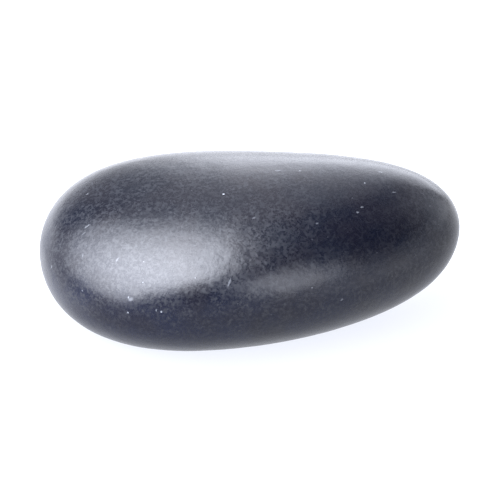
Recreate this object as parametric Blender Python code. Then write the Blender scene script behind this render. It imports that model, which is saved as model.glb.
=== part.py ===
"""River pebble: one smooth, water-worn stone that lies on the flat worn into its underside.

Metres, +Z up. The origin is on the surface under the stone, below the middle of its box. +X runs along the stone, from
its blunt end to its narrow end.
"""

import math

import bmesh
import bpy
import numpy as np

NAME = "pebble"

LENGTH = 0.070
WIDTH = 0.042
HEIGHT = 0.026

# How the section changes along the stone, as shares of its middle section. TAPER shrinks it towards the narrow end, and
# ENDS keeps both ends blunt.
WIDTH_TAPER = 0.28
WIDTH_ENDS = 0.02
HEIGHT_TAPER = 0.01
HEIGHT_ENDS = 0.37

# How far the stone's middle line rises towards the narrow end and bends to one side, as shares of the length.
NARROW_END_LIFT = 0.032
SIDEWAYS_BEND = 0.038

# The flat worn into the underside, as shares of half the height: how deep it lies, and how far its edge is rounded.
FLAT_DEPTH = 0.84
FLAT_EDGE = 0.16

# Broad, faint forms that stand proud of the plain egg, or are sunk into it. Each runs between two directions from the
# stone's middle, with a reach on a stone of radius 1, and a height as a share of the radius there.
BROAD_FORMS = (
    ("groove across the front flank", (-0.13, -0.97, 0.08), (0.78, -0.60, 0.50), 0.44, -0.019),
    ("shoulder above the groove", (0.01, -0.75, 1.38), (0.01, -0.75, 1.38), 0.40, 0.010),
    ("hollow low on the front", (0.15, -0.97, -0.09), (0.35, -0.78, 0.28), 0.29, -0.007),
)

CELLS = 24  # across each face of the cube that is rounded into the stone
TINY = 1e-9  # keeps the length of a form that is only a spot from being zero

STONE_COLOUR = (0.024, 0.026, 0.030, 1.0)
STONE_ROUGHNESS = 0.34


def clear_scene():
    for old in list(bpy.data.objects):
        bpy.data.objects.remove(old, do_unlink=True)


def directions(corners):
    """Unit directions for points of a cube from -1 to 1, spread so that the cells come out nearly equal."""
    spread = np.tan(corners * math.pi / 4)
    return spread / np.linalg.norm(spread, axis=1, keepdims=True)


def off_line(direction, start, end):
    """How far each unit direction is from the straight line between two others."""
    start = np.array(start) / np.linalg.norm(start)
    end = np.array(end) / np.linalg.norm(end)
    line = end - start
    share = np.clip((direction - start) @ line / max(line @ line, TINY), 0, 1)
    return np.linalg.norm(direction - start - share[:, None] * line, axis=1)


def broad_relief(direction):
    """The radius in each direction, as a share of the plain egg's."""
    radius = np.ones(len(direction))
    for _name, start, end, reach, height in BROAD_FORMS:
        radius += height * np.exp(-((off_line(direction, start, end) / reach) ** 2))
    return radius


def with_worn_flat(level):
    """Heights from the middle, stopped at the flat, with the flat's edge rounded into the sides."""
    flat = -FLAT_DEPTH * HEIGHT / 2
    edge = FLAT_EDGE * HEIGHT / 2
    into_edge = np.clip((level - flat + edge) / (2 * edge), 0, 1)
    return np.where(level > flat + edge, level, flat + edge * into_edge**2)


def stone_surface(direction):
    """Where the stone's surface lies in each direction, in metres, before it is set to its real size."""
    x, y, z = direction.T
    radius = broad_relief(direction)
    width = 1 - WIDTH_TAPER * x + WIDTH_ENDS * x**2
    height = 1 - HEIGHT_TAPER * x + HEIGHT_ENDS * x**2
    along = LENGTH / 2 * x * radius
    across = WIDTH / 2 * y * width * radius + SIDEWAYS_BEND * LENGTH * x**2
    up = HEIGHT / 2 * z * height * radius + NARROW_END_LIFT * LENGTH * x
    return np.stack([along, across, with_worn_flat(up)], axis=1)


def set_to_size(points):
    """Scaled to the stone's length, width and height, centred on the origin and standing on Z = 0."""
    low = points.min(axis=0)
    high = points.max(axis=0)
    points = (points - (low + high) / 2) * (np.array([LENGTH, WIDTH, HEIGHT]) / (high - low))
    return points + np.array([0, 0, HEIGHT / 2])


def stone_mesh():
    """A cube cut into cells and rounded into the stone."""
    cube = bmesh.new()
    bmesh.ops.create_cube(cube, size=2)
    bmesh.ops.subdivide_edges(cube, edges=cube.edges[:], cuts=CELLS - 1, use_grid_fill=True)
    corners = np.array([corner.co[:] for corner in cube.verts])
    for corner, place in zip(cube.verts, set_to_size(stone_surface(directions(corners)))):
        corner.co = place
    bmesh.ops.recalc_face_normals(cube, faces=cube.faces[:])
    mesh = bpy.data.meshes.new(NAME)
    cube.to_mesh(mesh)
    cube.free()
    mesh.shade_smooth()
    return mesh


def stone_material():
    material = bpy.data.materials.new("water-worn stone")
    material.use_nodes = True
    shader = material.node_tree.nodes["Principled BSDF"]
    shader.inputs["Base Color"].default_value = STONE_COLOUR
    shader.inputs["Roughness"].default_value = STONE_ROUGHNESS
    shader.inputs["Metallic"].default_value = 0.0
    return material


def make_pebble(collection):
    pebble = bpy.data.objects.new(NAME, stone_mesh())
    pebble.data.materials.append(stone_material())
    collection.objects.link(pebble)
    return pebble


def main():
    clear_scene()
    collection = bpy.data.collections.new("river pebble")
    bpy.context.scene.collection.children.link(collection)
    make_pebble(collection)


main()
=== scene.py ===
"""The looks of the river pebble: a finely shaped stone with its grain and marks, in a pale studio.

Metres, +Z up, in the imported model's frame: +X from the blunt end to the narrow end, the stone on Z = 0.
"""

import math

import bmesh
import bpy
import numpy as np
from mathutils import Matrix, Quaternion, Vector, noise


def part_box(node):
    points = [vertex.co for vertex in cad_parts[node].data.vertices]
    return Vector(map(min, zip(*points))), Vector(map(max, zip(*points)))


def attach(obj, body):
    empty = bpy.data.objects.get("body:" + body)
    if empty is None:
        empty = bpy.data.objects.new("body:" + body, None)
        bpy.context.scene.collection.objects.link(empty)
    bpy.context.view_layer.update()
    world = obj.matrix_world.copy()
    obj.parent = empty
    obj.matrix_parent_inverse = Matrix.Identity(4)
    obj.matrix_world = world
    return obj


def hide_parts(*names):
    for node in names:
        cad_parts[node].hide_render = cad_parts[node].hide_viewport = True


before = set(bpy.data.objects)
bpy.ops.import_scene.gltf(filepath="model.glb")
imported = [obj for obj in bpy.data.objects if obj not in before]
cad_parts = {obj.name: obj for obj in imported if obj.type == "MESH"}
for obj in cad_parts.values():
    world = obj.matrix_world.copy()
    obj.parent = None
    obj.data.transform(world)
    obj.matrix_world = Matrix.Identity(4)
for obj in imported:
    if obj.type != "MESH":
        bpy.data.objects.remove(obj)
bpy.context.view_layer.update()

MM = 0.001
NODE = "pebble"
LOW_CORNER, HIGH_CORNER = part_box(NODE)
SIZE = np.array(HIGH_CORNER - LOW_CORNER)
LENGTH, WIDTH, HEIGHT = SIZE

# The stone's form, as its solid has it: how its section and its middle line change along it, its worn
# flat, and its broad forms. Each form runs from one direction to another, with a reach on a stone of
# radius 1, and a height as a share of the radius there.
WIDTH_TAPER = 0.28
WIDTH_ENDS = 0.02
HEIGHT_TAPER = 0.01
HEIGHT_ENDS = 0.37
NARROW_END_LIFT = 0.032
SIDEWAYS_BEND = 0.038
FLAT_DEPTH = 0.84
FLAT_EDGE = 0.16
BROAD_FORMS = (
    ("groove across the front flank", (-0.13, -0.97, 0.08), (0.78, -0.60, 0.50), 0.44, -0.019),
    ("shoulder above the groove", (0.01, -0.75, 1.38), (0.01, -0.75, 1.38), 0.40, 0.010),
    ("hollow low on the front", (0.15, -0.97, -0.09), (0.35, -0.78, 0.28), 0.29, -0.007),
)

CELLS = 128  # across each face of the cube that is rounded into the stone
TINY = 1e-9  # keeps the length of a form that is only a spot from being zero

# Slight unevenness left by wear: size across in mm, and height in mm.
UNEVENNESS = ((14.0, 0.10), (5.0, 0.035), (1.6, 0.014))

# A mottle is random spots of one size, with values from 0 to 1: how many times over it has finer spots
# in it, and the range in which most of its values lie.
FINER_SPOTS = 2.0
MOTTLE_RANGE = (0.3, 0.7)

# The stone's colours: the cool dark ground, its bluer lower part, the browner ground of the top, and
# the pale grain and minerals in it.
COOL_GROUND = (0.0004, 0.0012, 0.0045, 1.0)
BLUE_GROUND = (0.0002, 0.0016, 0.0105, 1.0)
BROWN_GROUND = (0.0026, 0.0021, 0.0045, 1.0)
PALE_GRAIN = (0.0110, 0.0120, 0.0160, 1.0)
PALE_MINERAL = (0.62, 0.65, 0.70, 1.0)
BLUE_HEIGHTS = (6.0, 22.0)  # in mm, between which the ground goes from bluer to cool

# Where the ground is brown, in mm: round a place on the top, and in random patches, which go from none to
# full between these values of their mottle. Either of the two alone shows this share of the brown.
BROWN_PLACE = (4.0, 3.0, 26.0)
BROWN_REACH = 16.0
BROWN_PATCH = 7.0
BROWN_LIMITS = (0.35, 0.65)
BROWN_SHARE = 0.6

# The pale grain is a mottle: its size across in mm, how much its finer spots count, and its values
# between which the grain goes from none to full.
GRAIN = 0.6
GRAIN_SHARPNESS = 0.85
GRAIN_LIMITS = (0.42, 0.78)

# How thick the grain lies: it changes in patches of this size in mm, between these amounts, and it is
# thicker round some places, each with a middle and a reach in mm, and how many times as thick it is in
# the middle.
GRAIN_PATCH = 2.4
PATCH_AMOUNTS = (0.4, 1.6)
GRAIN_PLACES = (
    ("blunt end", (-30.0, -8.0, 14.0), 22.0, 2.2),
    ("below the narrow end", (26.0, -15.0, 6.0), 18.0, 3.5),
)

# Where the grain is sparse: round a place where less pale grain leaves the stone darker, as painted shade
# where its reflections are dark, and low down. It goes from these shares of it to all of it between these
# distances from the place and these heights, in mm.
PAINTED_SHADE_PLACE = (19.0, -10.0, 22.0)
PAINTED_SHADE_DISTANCES = (5.7, 19.0)
PAINTED_SHADE_GRAIN = 0.2
SPARSE_HEIGHTS = (7.0, 16.0)
SPARSEST = 0.4

# The gloss of the worn skin, how far the grain moves its roughness and its shine up and down, and how
# much rougher pale mineral is.
REFRACTION = 1.44
WORN_ROUGHNESS = 0.28
GRAIN_ROUGHNESS = 0.03
GRAIN_SHINE = 0.12
MINERAL_ROUGHNESS = 0.3

# The fine relief that wear left is a mottle too: its size across in mm, how much its finer spots count,
# and its depth in mm.
RELIEF = 0.7
RELIEF_SHARPNESS = 0.6
RELIEF_DEPTH = 0.022

# Scattered pale crumbs and dust: cell across and largest radius in mm, share of cells that hold one,
# and paleness. Each fades out over this share of the largest radius.
CRUMBS = ((2.7, 0.20, 0.50, 0.20), (1.3, 0.16, 0.40, 0.045))
CRUMB_EDGE = 0.5

# Single pale marks: name, place in mm, direction of their length, half length and half width in mm, and
# paleness. A mark reaches into the stone by its depth in mm, so that it meets the surface, and it grows
# from nothing to full between these shares of its half size.
MARK_DEPTH = 1.2
MARK_EDGE = (1.2, 0.5)
MARKS = (
    ("bright crumb of the top", (-4.0, -4.5, 25.0), (1.0, 0.0, 0.0), 0.20, 0.15, 0.40),
    ("scratch on the blunt end", (-26.1, -6.4, 19.8), (1.6, 0.4, 1.1), 0.60, 0.13, 0.10),
    ("short scratch beside it", (-26.7, -7.5, 19.1), (1.6, 0.4, 1.1), 0.45, 0.11, 0.06),
    ("nick in the front flank", (-2.8, -18.7, 17.7), (0.6, 0.8, 1.6), 0.80, 0.16, 0.09),
    ("chip below the front", (-18.5, -18.6, 14.2), (1.0, 0.0, 0.6), 0.45, 0.28, 0.09),
    ("crumb in the chip", (-18.9, -18.4, 14.4), (0.0, 0.0, 1.0), 0.20, 0.14, 0.20),
    ("scratch in the front", (-20.8, -13.9, 18.6), (0.8, 0.7, 1.0), 0.42, 0.15, 0.09),
    ("crumb on the crest", (4.7, 1.5, 25.7), (1.0, 0.0, 0.0), 0.50, 0.15, 0.09),
    ("crumb behind the crest", (8.3, 1.2, 25.9), (1.0, 0.0, 0.0), 0.22, 0.16, 0.10),
    ("fleck of the narrow end", (15.2, -15.8, 12.4), (1.0, 0.0, 0.3), 0.30, 0.16, 0.09),
    ("fleck of the middle", (1.0, -9.8, 24.1), (1.0, 0.5, 0.0), 0.35, 0.20, 0.06),
    ("fleck above the groove", (11.1, -10.3, 23.5), (1.0, 0.3, 0.0), 0.26, 0.16, 0.06),
    ("fleck of the left flank", (-32.2, -7.4, 12.3), (0.0, 0.3, 1.0), 0.28, 0.16, 0.10),
    ("fleck of the left front", (-26.6, -10.9, 17.2), (0.0, 0.4, 1.0), 0.30, 0.14, 0.09),
    ("fleck below the left front", (-26.6, -14.5, 12.8), (1.0, 0.0, 0.0), 0.20, 0.14, 0.08),
    ("fleck of the left top", (-26.6, 1.4, 20.8), (1.0, 0.0, 0.5), 0.28, 0.14, 0.11),
    ("fleck under the front", (-14.4, -20.1, 13.2), (0.0, 0.0, 1.0), 0.26, 0.15, 0.07),
    ("fleck of the narrow crest", (21.5, 1.7, 25.4), (1.0, 0.0, 0.0), 0.50, 0.16, 0.12),
    ("fleck below that crest", (23.6, -2.7, 24.5), (1.0, 0.2, 0.0), 0.40, 0.12, 0.07),
    ("crumb above the dark side", (18.3, -6.6, 24.2), (1.0, 0.4, 0.0), 0.30, 0.14, 0.08),
    ("crumb beside it", (17.6, -7.6, 23.9), (1.0, 0.0, 0.0), 0.22, 0.16, 0.09),
)

# The studio: a round pale floor that glows, a low pale wall round it, and a faint light from all sides.
LIGHT_COLOUR = (0.965, 1.00, 1.11, 1.0)
FLOOR_LIGHT = (0.972, 1.00, 1.09, 1.0)
FLOOR_COLOUR = (0.060, 0.060, 0.060, 1.0)
FLOOR_ROUGHNESS = 0.9
FLOOR_RADIUS = 3.0
FLOOR_SIDES = 96
FLOOR_GAP = 0.05  # mm below the stone, so that the two surfaces don't meet
FLOOR_GLOW = 0.88
WALL_HEIGHT = 0.5
WALL_GLOW = (0.88, 0.45)  # at its foot and at its top
ROOM_LIGHT = 0.06

# Where the floor glows more or less: name, middle and half size in mm, and how many times as much. The
# change is full out to this share of the half size, and gone at the whole of it. Glowing none under the
# stone paints a shadow there.
GLOW_PLACES = (
    # No glow here: a painted shadow under the stone.
    ("painted shadow under the stone", (-9.7, 0.0), (20.0, 11.0), 0.0),
    ("behind the stone", (0.0, 122.0), (250.0, 130.0), 2.6),
    ("beyond its narrow end", (80.0, -60.0), (55.0, 50.0), 1.7),
    ("beside its blunt end", (-55.0, -8.0), (26.0, 32.0), 1.7),
)
GLOW_EDGE = 0.5

# Soft panels of slightly cool light: name, azimuth, elevation, distance, width and height in metres, turn
# about the panel's own middle, radiance, and the shares of its width and height over which its light fades
# out at the left, the right, the bottom and the top.
PANELS = (
    ("key panel", -74, 35.5, 0.90, 1.92, 2.30, -15, 20.6, (0.58, 0.17, 0.74, 0.18)),
    ("back panel", 161.4, 11, 1.50, 1.64, 2.60, 0, 4.8, (0.20, 0.155, 0.01, 0.51)),
    ("left panel", -156, 16, 1.50, 1.30, 1.40, 0, 0.6, (0.25, 0.25, 0.15, 0.25)),
    ("right panel", 100, 24, 1.20, 1.45, 2.60, 0, 2.2, (0.60, 0.15, 0.01, 0.64)),
    ("top panel", 181, 56, 1.20, 1.60, 1.40, 0, 1.55, (0.40, 0.40, 0.40, 0.40)),
    ("front panel", 24, 15, 1.20, 1.18, 0.49, -58, 6.2, (0.30, 0.30, 0.40, 0.10)),
)

# The photograph's view of the stone, in degrees and metres.
VIEW_AZIMUTH = 0.9
VIEW_ELEVATION = 35.5
VIEW_DISTANCE = 0.40
LENS_MM = 173.2
SENSOR_MM = 36.0
AIM = Vector((0.0002, 0.0, 0.0108))


def towards(azimuth, elevation):
    """Unit direction from the stone: azimuth 0 is the camera's side, 90 the narrow end's."""
    a = math.radians(azimuth)
    e = math.radians(elevation)
    return Vector((math.sin(a) * math.cos(e), -math.cos(a) * math.cos(e), math.sin(e)))


def aim_at(obj, target):
    obj.rotation_mode = "QUATERNION"
    obj.rotation_quaternion = (target - obj.location).to_track_quat("-Z", "Y")


def link(obj):
    bpy.context.scene.collection.objects.link(obj)
    return obj


def directions(corners):
    """Unit directions for points of a cube from -1 to 1, spread so that cells come out nearly equal."""
    spread = np.tan(corners * math.pi / 4)
    return spread / np.linalg.norm(spread, axis=1, keepdims=True)


def off_line(direction, start, end):
    """How far each unit direction is from the straight line between two others."""
    start = np.array(start) / np.linalg.norm(start)
    end = np.array(end) / np.linalg.norm(end)
    line = end - start
    share = np.clip((direction - start) @ line / max(line @ line, TINY), 0, 1)
    return np.linalg.norm(direction - start - share[:, None] * line, axis=1)


def broad_relief(direction):
    """The radius in each direction, as a share of the plain egg's."""
    radius = np.ones(len(direction))
    for _name, start, end, reach, height in BROAD_FORMS:
        radius += height * np.exp(-((off_line(direction, start, end) / reach) ** 2))
    return radius


def with_worn_flat(level):
    """Heights from the middle, stopped at the flat, with the flat's edge rounded into the sides."""
    flat = -FLAT_DEPTH * HEIGHT / 2
    edge = FLAT_EDGE * HEIGHT / 2
    into_edge = np.clip((level - flat + edge) / (2 * edge), 0, 1)
    return np.where(level > flat + edge, level, flat + edge * into_edge**2)


def stone_surface(direction):
    """Where the stone's surface lies in each direction, in metres, before it is set to its real size."""
    x, y, z = direction.T
    radius = broad_relief(direction)
    width = 1 - WIDTH_TAPER * x + WIDTH_ENDS * x**2
    height = 1 - HEIGHT_TAPER * x + HEIGHT_ENDS * x**2
    along = LENGTH / 2 * x * radius
    across = WIDTH / 2 * y * width * radius + SIDEWAYS_BEND * LENGTH * x**2
    up = HEIGHT / 2 * z * height * radius + NARROW_END_LIFT * LENGTH * x
    return np.stack([along, across, with_worn_flat(up)], axis=1)


def set_to_size(points):
    """Scaled to the stone's length, width and height, centred on the origin and standing on Z = 0."""
    low = points.min(axis=0)
    high = points.max(axis=0)
    points = (points - (low + high) / 2) * (SIZE / (high - low))
    return points + np.array([0, 0, HEIGHT / 2])


def stone_mesh():
    """A cube cut into cells and rounded into the stone."""
    cube = bmesh.new()
    bmesh.ops.create_cube(cube, size=2)
    bmesh.ops.subdivide_edges(cube, edges=cube.edges[:], cuts=CELLS - 1, use_grid_fill=True)
    bmesh.ops.recalc_face_normals(cube, faces=cube.faces[:])
    mesh = bpy.data.meshes.new("stone")
    cube.to_mesh(mesh)
    cube.free()
    corners = np.empty(len(mesh.vertices) * 3)
    mesh.vertices.foreach_get("co", corners)
    corners = corners.reshape(-1, 3)
    mesh.vertices.foreach_set("co", set_to_size(stone_surface(directions(corners))).ravel())
    mesh.update()
    mesh.shade_smooth()
    return mesh


def add_unevenness(mesh):
    """Moves each point a little along its normal, where wear left the stone uneven.

    The flat stays even: the moves grow from nothing to full over the first millimetre above it.
    """
    count = len(mesh.vertices)
    places = np.empty(count * 3)
    normals = np.empty(count * 3)
    mesh.vertices.foreach_get("co", places)
    mesh.vertices.foreach_get("normal", normals)
    places = places.reshape(-1, 3)
    normals = normals.reshape(-1, 3)
    rise = np.zeros(count)
    for across, height in UNEVENNESS:
        spots = (places / (across * MM)).tolist()
        rise += height * MM * np.array([noise.noise(spot) for spot in spots])
    above_flat = np.clip(places[:, 2] / MM, 0, 1)
    mesh.vertices.foreach_set("co", (places + normals * (rise * above_flat)[:, None]).ravel())
    mesh.update()


def feed(tree, socket, value):
    """Gives an input its value, which is plain or another node's output."""
    if isinstance(value, bpy.types.NodeSocket):
        tree.links.new(value, socket)
    else:
        socket.default_value = value


def add(tree, kind, inputs, **settings):
    """A new node. Its inputs are plain values or other nodes' outputs."""
    made = tree.nodes.new(kind)
    for name, value in settings.items():
        setattr(made, name, value)
    for name, value in inputs.items():
        feed(tree, made.inputs[name], value)
    return made


def calculate(tree, operation, *values):
    return add(tree, "ShaderNodeMath", dict(enumerate(values)), operation=operation).outputs[0]


def multiplied(tree, product, *values):
    for value in values:
        product = calculate(tree, "MULTIPLY", product, value)
    return product


def mixed(tree, share, first, second):
    """A colour between two others."""
    made = tree.nodes.new("ShaderNodeMix")
    made.data_type = "RGBA"
    for name, value in {"Factor": share, "A": first, "B": second}.items():
        socket = [s for s in made.inputs if s.name == name and s.enabled][0]
        feed(tree, socket, value)
    return [s for s in made.outputs if s.enabled][0]


def ramp(tree, value, start, end, low=0.0, high=1.0):
    """From low to high, smoothly, as the value goes from start to end."""
    limits = {"Value": value, "From Min": start, "From Max": end, "To Min": low, "To Max": high}
    return add(tree, "ShaderNodeMapRange", limits, interpolation_type="SMOOTHSTEP").outputs["Result"]


def distance(tree, places, middle):
    ends = {0: places, 1: middle}
    return add(tree, "ShaderNodeVectorMath", ends, operation="DISTANCE").outputs["Value"]


def oval_distance(tree, places, middle, half_sizes, turn=(0.0, 0.0, 0.0)):
    """How far out each place is in an oval: 0 in its middle and 1 at its edge."""
    where = {"Vector": places, "Location": middle, "Rotation": turn, "Scale": half_sizes}
    local = add(tree, "ShaderNodeMapping", where, vector_type="TEXTURE").outputs["Vector"]
    return distance(tree, local, (0.0, 0.0, 0.0))


def places_in_mm(tree):
    """The places on an object, from its origin."""
    places = {0: add(tree, "ShaderNodeTexCoord", {}).outputs["Object"], "Scale": 1 / MM}
    return add(tree, "ShaderNodeVectorMath", places, operation="SCALE").outputs["Vector"]


def height_of(tree, places):
    return add(tree, "ShaderNodeSeparateXYZ", {"Vector": places}).outputs["Z"]


def mottle(tree, places, across, sharpness=0.5):
    """Smooth random spots of one size across, from 0 to 1, with finer ones in them."""
    spots = {"Vector": places, "Scale": 1 / across, "Detail": FINER_SPOTS, "Roughness": sharpness}
    return add(tree, "ShaderNodeTexNoise", spots).outputs["Fac"]


def scattered_dots(tree, places, cell, radius, share):
    """Round dots in some cells of a random net: from 0 to 1, largest in the cells that hold the most."""
    net = add(tree, "ShaderNodeTexVoronoi", {"Vector": places, "Scale": 1 / cell})
    from_middle = multiplied(tree, net.outputs["Distance"], cell)
    chance = add(tree, "ShaderNodeSeparateColor", {"Color": net.outputs["Color"]}).outputs["Red"]
    size = ramp(tree, chance, 1 - share, 1.0, 0.0, radius)
    inside = calculate(tree, "SUBTRACT", size, from_middle)
    return ramp(tree, inside, 0.0, radius * CRUMB_EDGE)


def single_mark(tree, places, place, direction, half_length, half_width):
    """One mark, from 0 to 1, that lies along the surface and reaches into the stone."""
    middle = Vector((0, 0, HEIGHT / 2 / MM))
    outward = Vector([part / side**2 for part, side in zip(Vector(place) - middle, SIZE)]).normalized()
    across = outward.cross(Vector(direction)).normalized()
    turn = Matrix((across.cross(outward), across, outward)).transposed().to_euler()
    half_sizes = (half_length, half_width, MARK_DEPTH)
    return ramp(tree, oval_distance(tree, places, place, half_sizes, turn), *MARK_EDGE)


def pale_minerals(tree, places):
    """How much pale mineral shows at each place, as a share of its full colour."""
    shown = 0.0
    for cell, radius, share, paleness in CRUMBS:
        dots = scattered_dots(tree, places, cell, radius, share)
        shown = calculate(tree, "MAXIMUM", shown, multiplied(tree, dots, paleness))
    for _name, place, direction, half_length, half_width, paleness in MARKS:
        mark = single_mark(tree, places, place, direction, half_length, half_width)
        shown = calculate(tree, "MAXIMUM", shown, multiplied(tree, mark, paleness))
    return shown


def brownness(tree, places):
    """How brown the ground is: round one place on the top, and in random patches."""
    near_brown = ramp(tree, distance(tree, places, BROWN_PLACE), BROWN_REACH, 0.0)
    patches = ramp(tree, mottle(tree, places, BROWN_PATCH), *BROWN_LIMITS)
    return multiplied(tree, calculate(tree, "ADD", near_brown, patches), BROWN_SHARE)


def grain_density(tree, places):
    """How thick the grain lies at each place."""
    density = ramp(tree, mottle(tree, places, GRAIN_PATCH), *MOTTLE_RANGE, *PATCH_AMOUNTS)
    for _name, middle, reach, times in GRAIN_PLACES:
        thicker = ramp(tree, distance(tree, places, middle), 0.0, reach, times, 1.0)
        density = multiplied(tree, density, thicker)
    # Less pale grain round this place makes it darker: painted shade.
    painted_shade = ramp(tree, distance(tree, places, PAINTED_SHADE_PLACE), *PAINTED_SHADE_DISTANCES, PAINTED_SHADE_GRAIN, 1.0)
    sparse = ramp(tree, height_of(tree, places), *SPARSE_HEIGHTS, SPARSEST, 1.0)
    return multiplied(tree, density, painted_shade, sparse)


def ground_colour(tree, places, grain):
    """Dark stone, bluer low down and browner on the top, with pale grain in it."""
    blueness = ramp(tree, height_of(tree, places), *BLUE_HEIGHTS, 1.0, 0.0)
    ground = mixed(tree, blueness, COOL_GROUND, BLUE_GROUND)
    ground = mixed(tree, brownness(tree, places), ground, BROWN_GROUND)
    pale_grain = multiplied(tree, ramp(tree, grain, *GRAIN_LIMITS), grain_density(tree, places))
    return mixed(tree, pale_grain, ground, PALE_GRAIN)


def moved_by_grain(tree, grain, middle, change):
    """A value that the grain moves up and down from its middle."""
    return ramp(tree, grain, *MOTTLE_RANGE, middle - change, middle + change)


def stone_material():
    material = bpy.data.materials.new("water-worn stone")
    material.use_nodes = True
    tree = material.node_tree
    places = places_in_mm(tree)
    grain = mottle(tree, places, GRAIN, GRAIN_SHARPNESS)
    pale = pale_minerals(tree, places)
    worn = moved_by_grain(tree, grain, WORN_ROUGHNESS, GRAIN_ROUGHNESS)
    relief = {"Height": mottle(tree, places, RELIEF, RELIEF_SHARPNESS), "Distance": RELIEF_DEPTH * MM}
    looks = {
        "Base Color": mixed(tree, pale, ground_colour(tree, places, grain), PALE_MINERAL),
        "Roughness": calculate(tree, "ADD", worn, multiplied(tree, pale, MINERAL_ROUGHNESS)),
        "IOR": REFRACTION,
        "Specular Tint": moved_by_grain(tree, grain, 1.0, GRAIN_SHINE),
        "Normal": add(tree, "ShaderNodeBump", relief).outputs["Normal"],
    }
    for name, value in looks.items():
        feed(tree, tree.nodes["Principled BSDF"].inputs[name], value)
    return material


def make_stone():
    mesh = stone_mesh()
    add_unevenness(mesh)
    mesh.materials.append(stone_material())
    stone = link(bpy.data.objects.new("stone", mesh))
    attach(stone, "root")
    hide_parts(NODE)


def pale_surface(name, shape, glow_at):
    """A pale surface of the studio. glow_at works out how much it glows at the places on it, in mm."""
    mesh = bpy.data.meshes.new(name)
    shape.to_mesh(mesh)
    shape.free()
    material = bpy.data.materials.new(f"pale {name}")
    material.use_nodes = True
    tree = material.node_tree
    looks = {
        "Base Color": FLOOR_COLOUR,
        "Roughness": FLOOR_ROUGHNESS,
        "Specular IOR Level": 0.0,
        "Emission Color": FLOOR_LIGHT,
        "Emission Strength": glow_at(tree, places_in_mm(tree)),
    }
    for input_name, value in looks.items():
        feed(tree, tree.nodes["Principled BSDF"].inputs[input_name], value)
    mesh.materials.append(material)
    return link(bpy.data.objects.new(name, mesh))


def floor_glow(tree, places):
    # How much the floor glows at each place. The place under the stone gets none, which is a painted
    # shadow.
    glow = FLOOR_GLOW
    for _name, middle, half_size, times in GLOW_PLACES:
        out = oval_distance(tree, places, (*middle, 0.0), (*half_size, 1.0))
        glow = multiplied(tree, glow, ramp(tree, out, GLOW_EDGE, 1.0, times, 1.0))
    return glow


def wall_glow(tree, places):
    half_height = WALL_HEIGHT / 2 / MM
    return ramp(tree, height_of(tree, places), -half_height, half_height, *WALL_GLOW)


def make_floor():
    """A pale floor that glows a little, as a light table lit from below does, with a painted shadow under
    the stone where it does not glow.
    """
    disc = bmesh.new()
    bmesh.ops.create_circle(disc, cap_ends=True, segments=FLOOR_SIDES, radius=FLOOR_RADIUS)
    floor = pale_surface("floor", disc, floor_glow)
    floor.location.z = -FLOOR_GAP * MM


def make_wall():
    """A low pale wall round the floor, which is seen only from low down."""
    ring = bmesh.new()
    bmesh.ops.create_cone(
        ring, segments=FLOOR_SIDES, radius1=FLOOR_RADIUS, radius2=FLOOR_RADIUS, depth=WALL_HEIGHT
    )
    wall = pale_surface("wall", ring, wall_glow)
    wall.location.z = WALL_HEIGHT / 2 - FLOOR_GAP * MM


def fade(tree, place, near, far):
    """From nothing at both edges of a panel to full between them, over these shares of its size."""
    return multiplied(tree, ramp(tree, place, 0.0, near), ramp(tree, place, 1.0, 1 - far))


def soften(light, left, right, low, high):
    """Lets the panel's light fall to nothing, smoothly, towards its four edges."""
    light.use_nodes = True
    tree = light.node_tree
    panel = add(tree, "ShaderNodeNewGeometry", {}).outputs["Parametric"]
    place = add(tree, "ShaderNodeSeparateXYZ", {"Vector": panel}).outputs
    strength = multiplied(tree, fade(tree, place["X"], left, right), fade(tree, place["Y"], low, high))
    feed(tree, tree.nodes["Emission"].inputs["Strength"], strength)


def make_panels():
    for name, azimuth, elevation, away, width, height, turn, radiance, edges in PANELS:
        light = bpy.data.lights.new(name, "AREA")
        light.shape = "RECTANGLE"
        light.size = width
        light.size_y = height
        light.energy = radiance * math.pi * width * height
        light.color = LIGHT_COLOUR[:3]
        soften(light, *edges)
        panel = link(bpy.data.objects.new(name, light))
        panel.visible_camera = False
        panel.location = towards(azimuth, elevation) * away
        aim_at(panel, Vector((0, 0, 0)))
        panel.rotation_quaternion @= Quaternion((0, 0, 1), math.radians(turn))


def make_world():
    world = bpy.data.worlds.new("studio")
    world.use_nodes = True
    background = world.node_tree.nodes["Background"].inputs
    background["Color"].default_value = LIGHT_COLOUR
    background["Strength"].default_value = ROOM_LIGHT
    bpy.context.scene.world = world


def make_camera():
    camera = bpy.data.cameras.new("camera")
    camera.sensor_width = SENSOR_MM
    camera.lens = LENS_MM
    holder = link(bpy.data.objects.new("camera", camera))
    holder.location = AIM + towards(VIEW_AZIMUTH, VIEW_ELEVATION) * VIEW_DISTANCE
    aim_at(holder, AIM)
    bpy.context.scene.camera = holder


make_stone()
make_floor()
make_wall()
make_panels()
make_world()
make_camera()

bpy.context.scene.view_settings.view_transform = "Standard"
